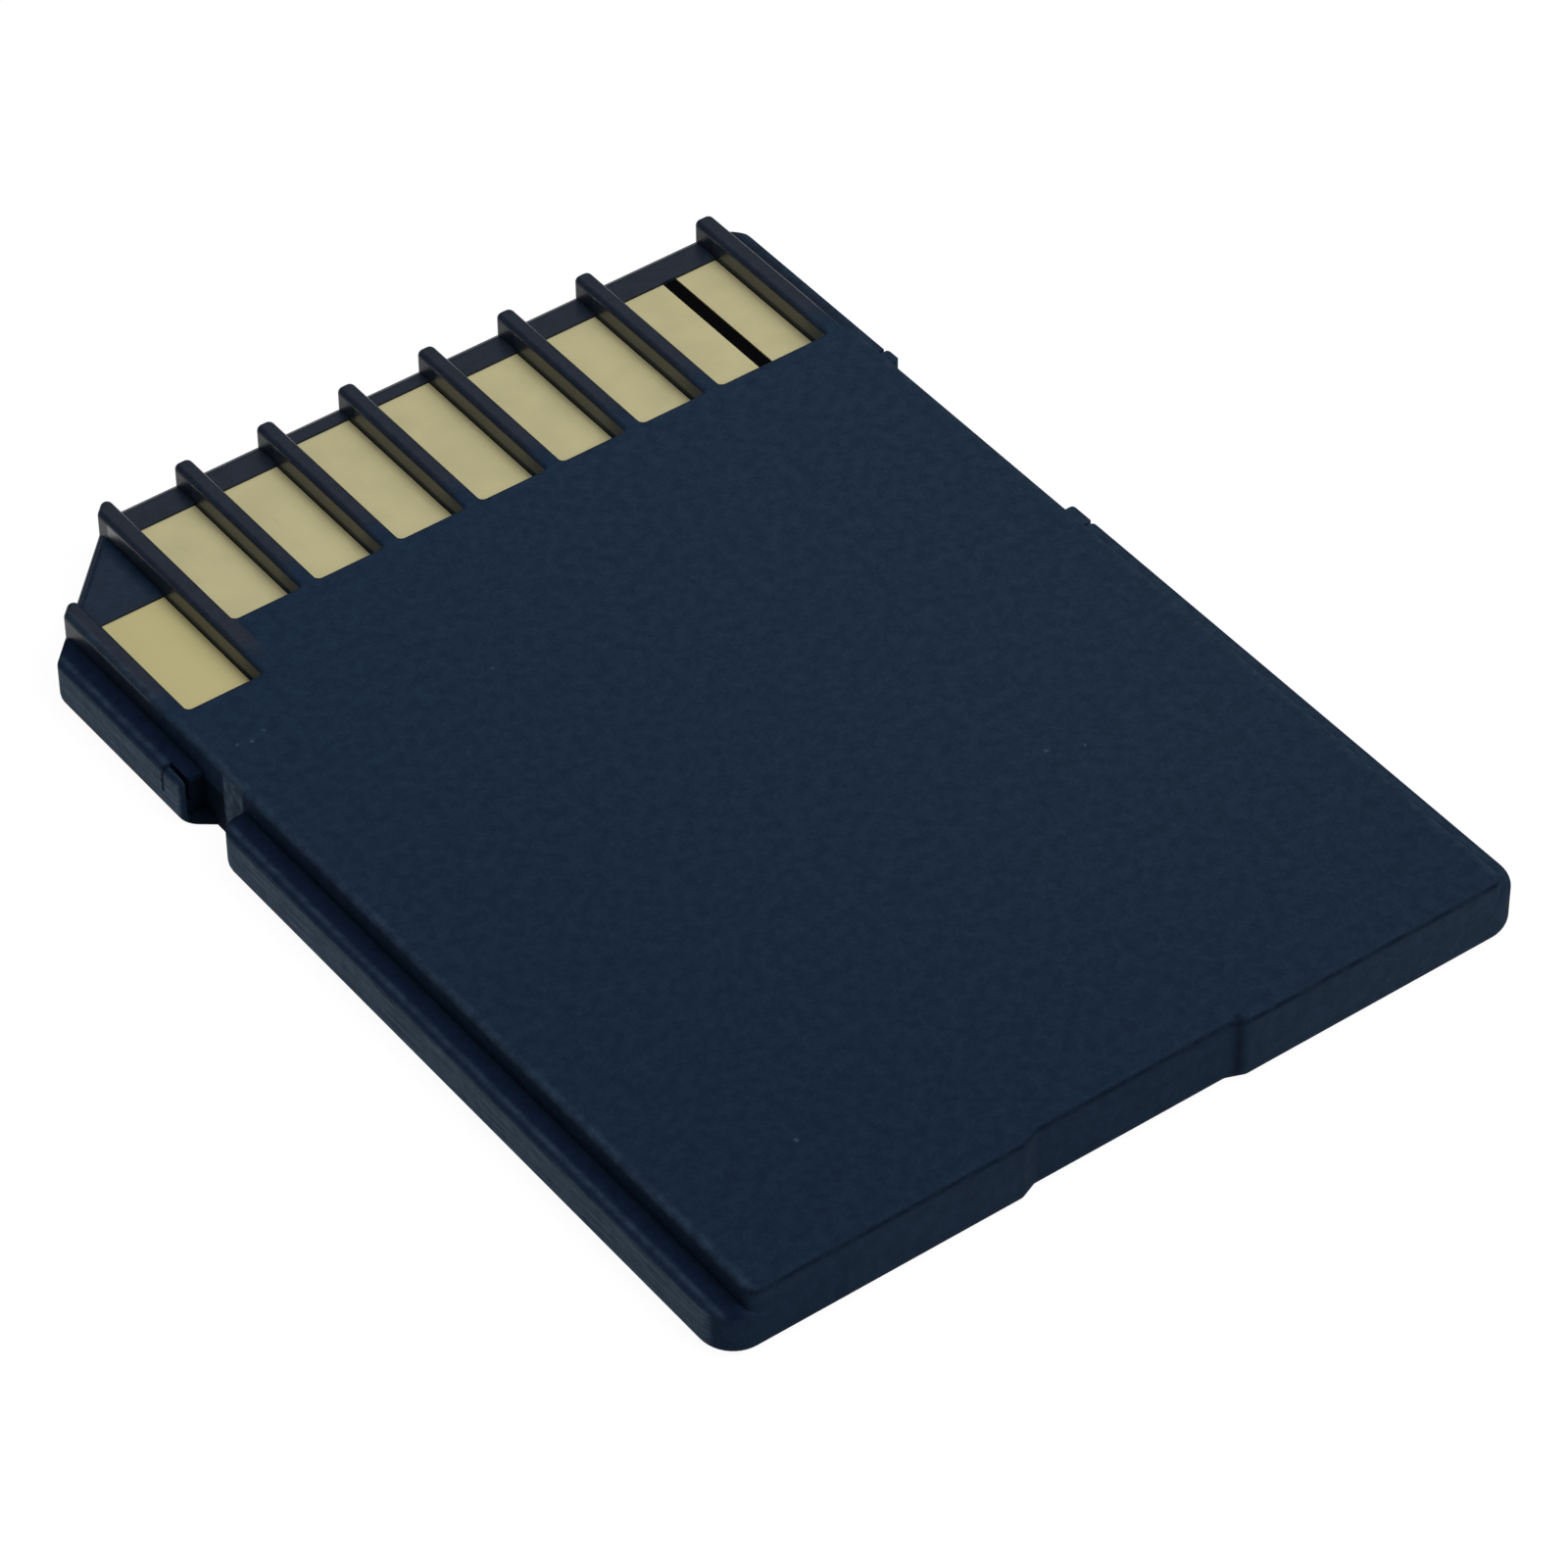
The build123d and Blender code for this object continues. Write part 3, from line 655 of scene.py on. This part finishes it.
class CARD_OT_plate_contacts(bpy.types.Operator):
    """Gives the contacts their gold plating"""

    bl_idname = "card.plate_contacts"
    bl_label = "Plate contacts"

    def execute(self, context):
        dress(contact_plating(context.scene.card_finish, context.scene.card_wear), *CONTACTS)
        return {"FINISHED"}


class CARD_OT_mould_slider(bpy.types.Operator):
    """Gives the write-protect slider its plastic"""

    bl_idname = "card.mould_slider"
    bl_label = "Mould slider"

    def execute(self, context):
        finish = context.scene.card_finish
        dress(plain_moulding("slider_plastic", finish.slider, roughness=0.5), "write_protect_slider")
        return {"FINISHED"}


class CARD_OT_lay_label(bpy.types.Operator):
    """Gives the label its satin film"""

    bl_idname = "card.lay_label"
    bl_label = "Lay label"

    def execute(self, context):
        finish = context.scene.card_finish
        film = plain_moulding("label_film", finish.label, roughness=0.42, grain=0.00025, depth=0.0000015)
        dress(film, "label")
        return {"FINISHED"}


class CARD_OT_fit_electronics(bpy.types.Operator):
    """Gives the board, the chips and the small parts inside their finishes"""

    bl_idname = "card.fit_electronics"
    bl_label = "Fit electronics"

    def execute(self, context):
        finish = context.scene.card_finish
        lacquer = plain_moulding("board_lacquer", finish.board, roughness=0.8, grain=0.0002, specular=0.02)
        dress(lacquer, "circuit_board")
        dress(plain_moulding("chip_resin", finish.chip, roughness=0.6), *CHIPS)
        dress(plain_moulding("capacitor_ceramic", finish.capacitor, roughness=0.45), *CAPACITORS)
        dress(plain_moulding("resistor_glaze", finish.resistor, roughness=0.3), *RESISTORS)
        leads = plain_moulding("tinned_lead", finish.lead, roughness=0.35, grain=0.00004, depth=0.000001)
        leads.set(Metallic=1.0)
        dress(leads, "flash_chip_leads")
        return {"FINISHED"}


def floor_surface(size, steps):
    """A level square: x and y run evenly over the side, z stays at zero."""
    side = np.linspace(-size / 2, size / 2, steps)
    x, y = np.meshgrid(side, side, indexing="ij")
    points = np.stack((x, y, np.zeros_like(x)), axis=-1).reshape(-1, 3)
    index = np.arange(steps * steps).reshape(steps, steps)
    corners = (index[:-1, :-1], index[1:, :-1], index[1:, 1:], index[:-1, 1:])
    quads = np.stack(corners, axis=-1).reshape(-1, 4)
    mesh = bpy.data.meshes.new("floor")
    mesh.from_pydata(points.tolist(), [], quads.tolist())
    return mesh


def seen_directly(tree):
    """1 for what the camera sees straight, in a polished surface or through glass, and 0 for lighting."""
    path = tree.nodes.new("ShaderNodeLightPath")
    total = path.outputs["Is Camera Ray"]
    for name in ("Is Glossy Ray", "Is Transmission Ray"):
        step = tree.nodes.new("ShaderNodeMath")
        step.operation = "MAXIMUM"
        tree.links.new(total, step.inputs[0])
        tree.links.new(path.outputs[name], step.inputs[1])
        total = step.outputs["Value"]
    return total


def floor_material(stage):
    """Matt pale table. Seen directly, most of its white is its own glow, so shadows on it stay faint."""
    material = bpy.data.materials.new("pale_floor")
    material.use_nodes = True
    tree = material.node_tree
    tree.nodes.clear()
    out = tree.nodes.new("ShaderNodeOutputMaterial")
    plain = tree.nodes.new("ShaderNodeBsdfDiffuse")
    plain.inputs["Color"].default_value = (*stage.floor, 1.0)
    faint = tree.nodes.new("ShaderNodeBsdfDiffuse")
    faint.inputs["Color"].default_value = FLOOR_LIT
    glow = tree.nodes.new("ShaderNodeEmission")
    glow.inputs["Strength"].default_value = FLOOR_GLOW
    both = tree.nodes.new("ShaderNodeAddShader")
    tree.links.new(faint.outputs["BSDF"], both.inputs[0])
    tree.links.new(glow.outputs["Emission"], both.inputs[1])
    choice = tree.nodes.new("ShaderNodeMixShader")
    tree.links.new(seen_directly(tree), choice.inputs["Fac"])
    tree.links.new(plain.outputs["BSDF"], choice.inputs[1])
    tree.links.new(both.outputs["Shader"], choice.inputs[2])
    tree.links.new(choice.outputs["Shader"], out.inputs["Surface"])
    return material


def camera_place(stage):
    """The camera's matrix from its turn, height angle, roll and distance about the point it looks at."""
    turn = math.radians(stage.azimuth)
    rise = math.radians(stage.elevation)
    lean = math.radians(stage.roll)
    back = Vector((math.sin(turn) * math.cos(rise), -math.cos(turn) * math.cos(rise), math.sin(rise)))
    level = Vector((math.cos(turn), math.sin(turn), 0.0))
    upright = back.cross(level)
    right = math.cos(lean) * level + math.sin(lean) * upright
    up = -math.sin(lean) * level + math.cos(lean) * upright
    spot = Vector(stage.aim) + stage.distance * back
    matrix = Matrix((right, up, back)).transposed().to_4x4()
    matrix.translation = spot
    return matrix


def add_lamp(name, direction, distance, size, power):
    """A square lamp that looks at the middle of the card from the given direction."""
    lamp = bpy.data.lights.new(name, "AREA")
    lamp.shape = "SQUARE"
    lamp.size = size
    lamp.energy = power
    holder = bpy.data.objects.new(name, lamp)
    toward = Vector(direction).normalized()
    holder.location = toward * distance
    holder.rotation_euler = toward.to_track_quat("Z", "Y").to_euler()
    bpy.context.scene.collection.objects.link(holder)


class CARD_OT_set_stage(bpy.types.Operator):
    """Lays the floor and sets the lamps, the surrounding light and the camera"""

    bl_idname = "card.set_stage"
    bl_label = "Set stage"

    def execute(self, context):
        scene = context.scene
        stage = scene.card_stage
        scene.view_settings.view_transform = "Standard"
        floor = bpy.data.objects.new("floor", floor_surface(stage.floor_size, FLOOR_STEPS))
        floor.data.materials.append(floor_material(stage))
        scene.collection.objects.link(floor)
        for name, direction, distance, size, power in LAMPS:
            add_lamp(name, direction, distance, getattr(stage, size), getattr(stage, power))
        world = bpy.data.worlds.new("studio")
        world.use_nodes = True
        background = world.node_tree.nodes["Background"]
        background.inputs["Color"].default_value = WHITE
        background.inputs["Strength"].default_value = stage.fill
        scene.world = world
        camera = bpy.data.cameras.new("camera")
        camera.sensor_width = FRAME_WIDTH
        camera.lens = stage.lens
        camera.clip_start = NEAREST
        camera.clip_end = FARTHEST
        holder = bpy.data.objects.new("camera", camera)
        holder.matrix_world = camera_place(stage)
        scene.collection.objects.link(holder)
        scene.camera = holder
        return {"FINISHED"}


class CARD_PT_looks(bpy.types.Panel):
    """Lists the steps that finish the card"""

    bl_label = "Memory card looks"
    bl_idname = "CARD_PT_looks"
    bl_space_type = "VIEW_3D"
    bl_region_type = "UI"
    bl_category = "Card"

    def draw(self, context):
        for step in STEPS:
            self.layout.operator(step.bl_idname)
        for group in (context.scene.card_finish, context.scene.card_wear, context.scene.card_stage):
            box = self.layout.box()
            for name in group.bl_rna.properties.keys():
                if name not in ("rna_type", "name"):
                    box.prop(group, name)


STEPS = (
    CARD_OT_mould_shells,
    CARD_OT_plate_contacts,
    CARD_OT_mould_slider,
    CARD_OT_lay_label,
    CARD_OT_fit_electronics,
    CARD_OT_set_stage,
)
CLASSES = (CardFinish, CardWearAndShade, CardStage, *STEPS, CARD_PT_looks)


def register():
    for kind in CLASSES:
        bpy.utils.register_class(kind)
    bpy.types.Scene.card_finish = PointerProperty(type=CardFinish)
    bpy.types.Scene.card_wear = PointerProperty(type=CardWearAndShade)
    bpy.types.Scene.card_stage = PointerProperty(type=CardStage)


def unregister():
    del bpy.types.Scene.card_stage
    del bpy.types.Scene.card_wear
    del bpy.types.Scene.card_finish
    for kind in reversed(CLASSES):
        bpy.utils.unregister_class(kind)


def main():
    register()
    bpy.ops.card.mould_shells()
    bpy.ops.card.plate_contacts()
    bpy.ops.card.mould_slider()
    bpy.ops.card.lay_label()
    bpy.ops.card.fit_electronics()
    bpy.ops.card.set_stage()


if __name__ == "__main__":
    main()
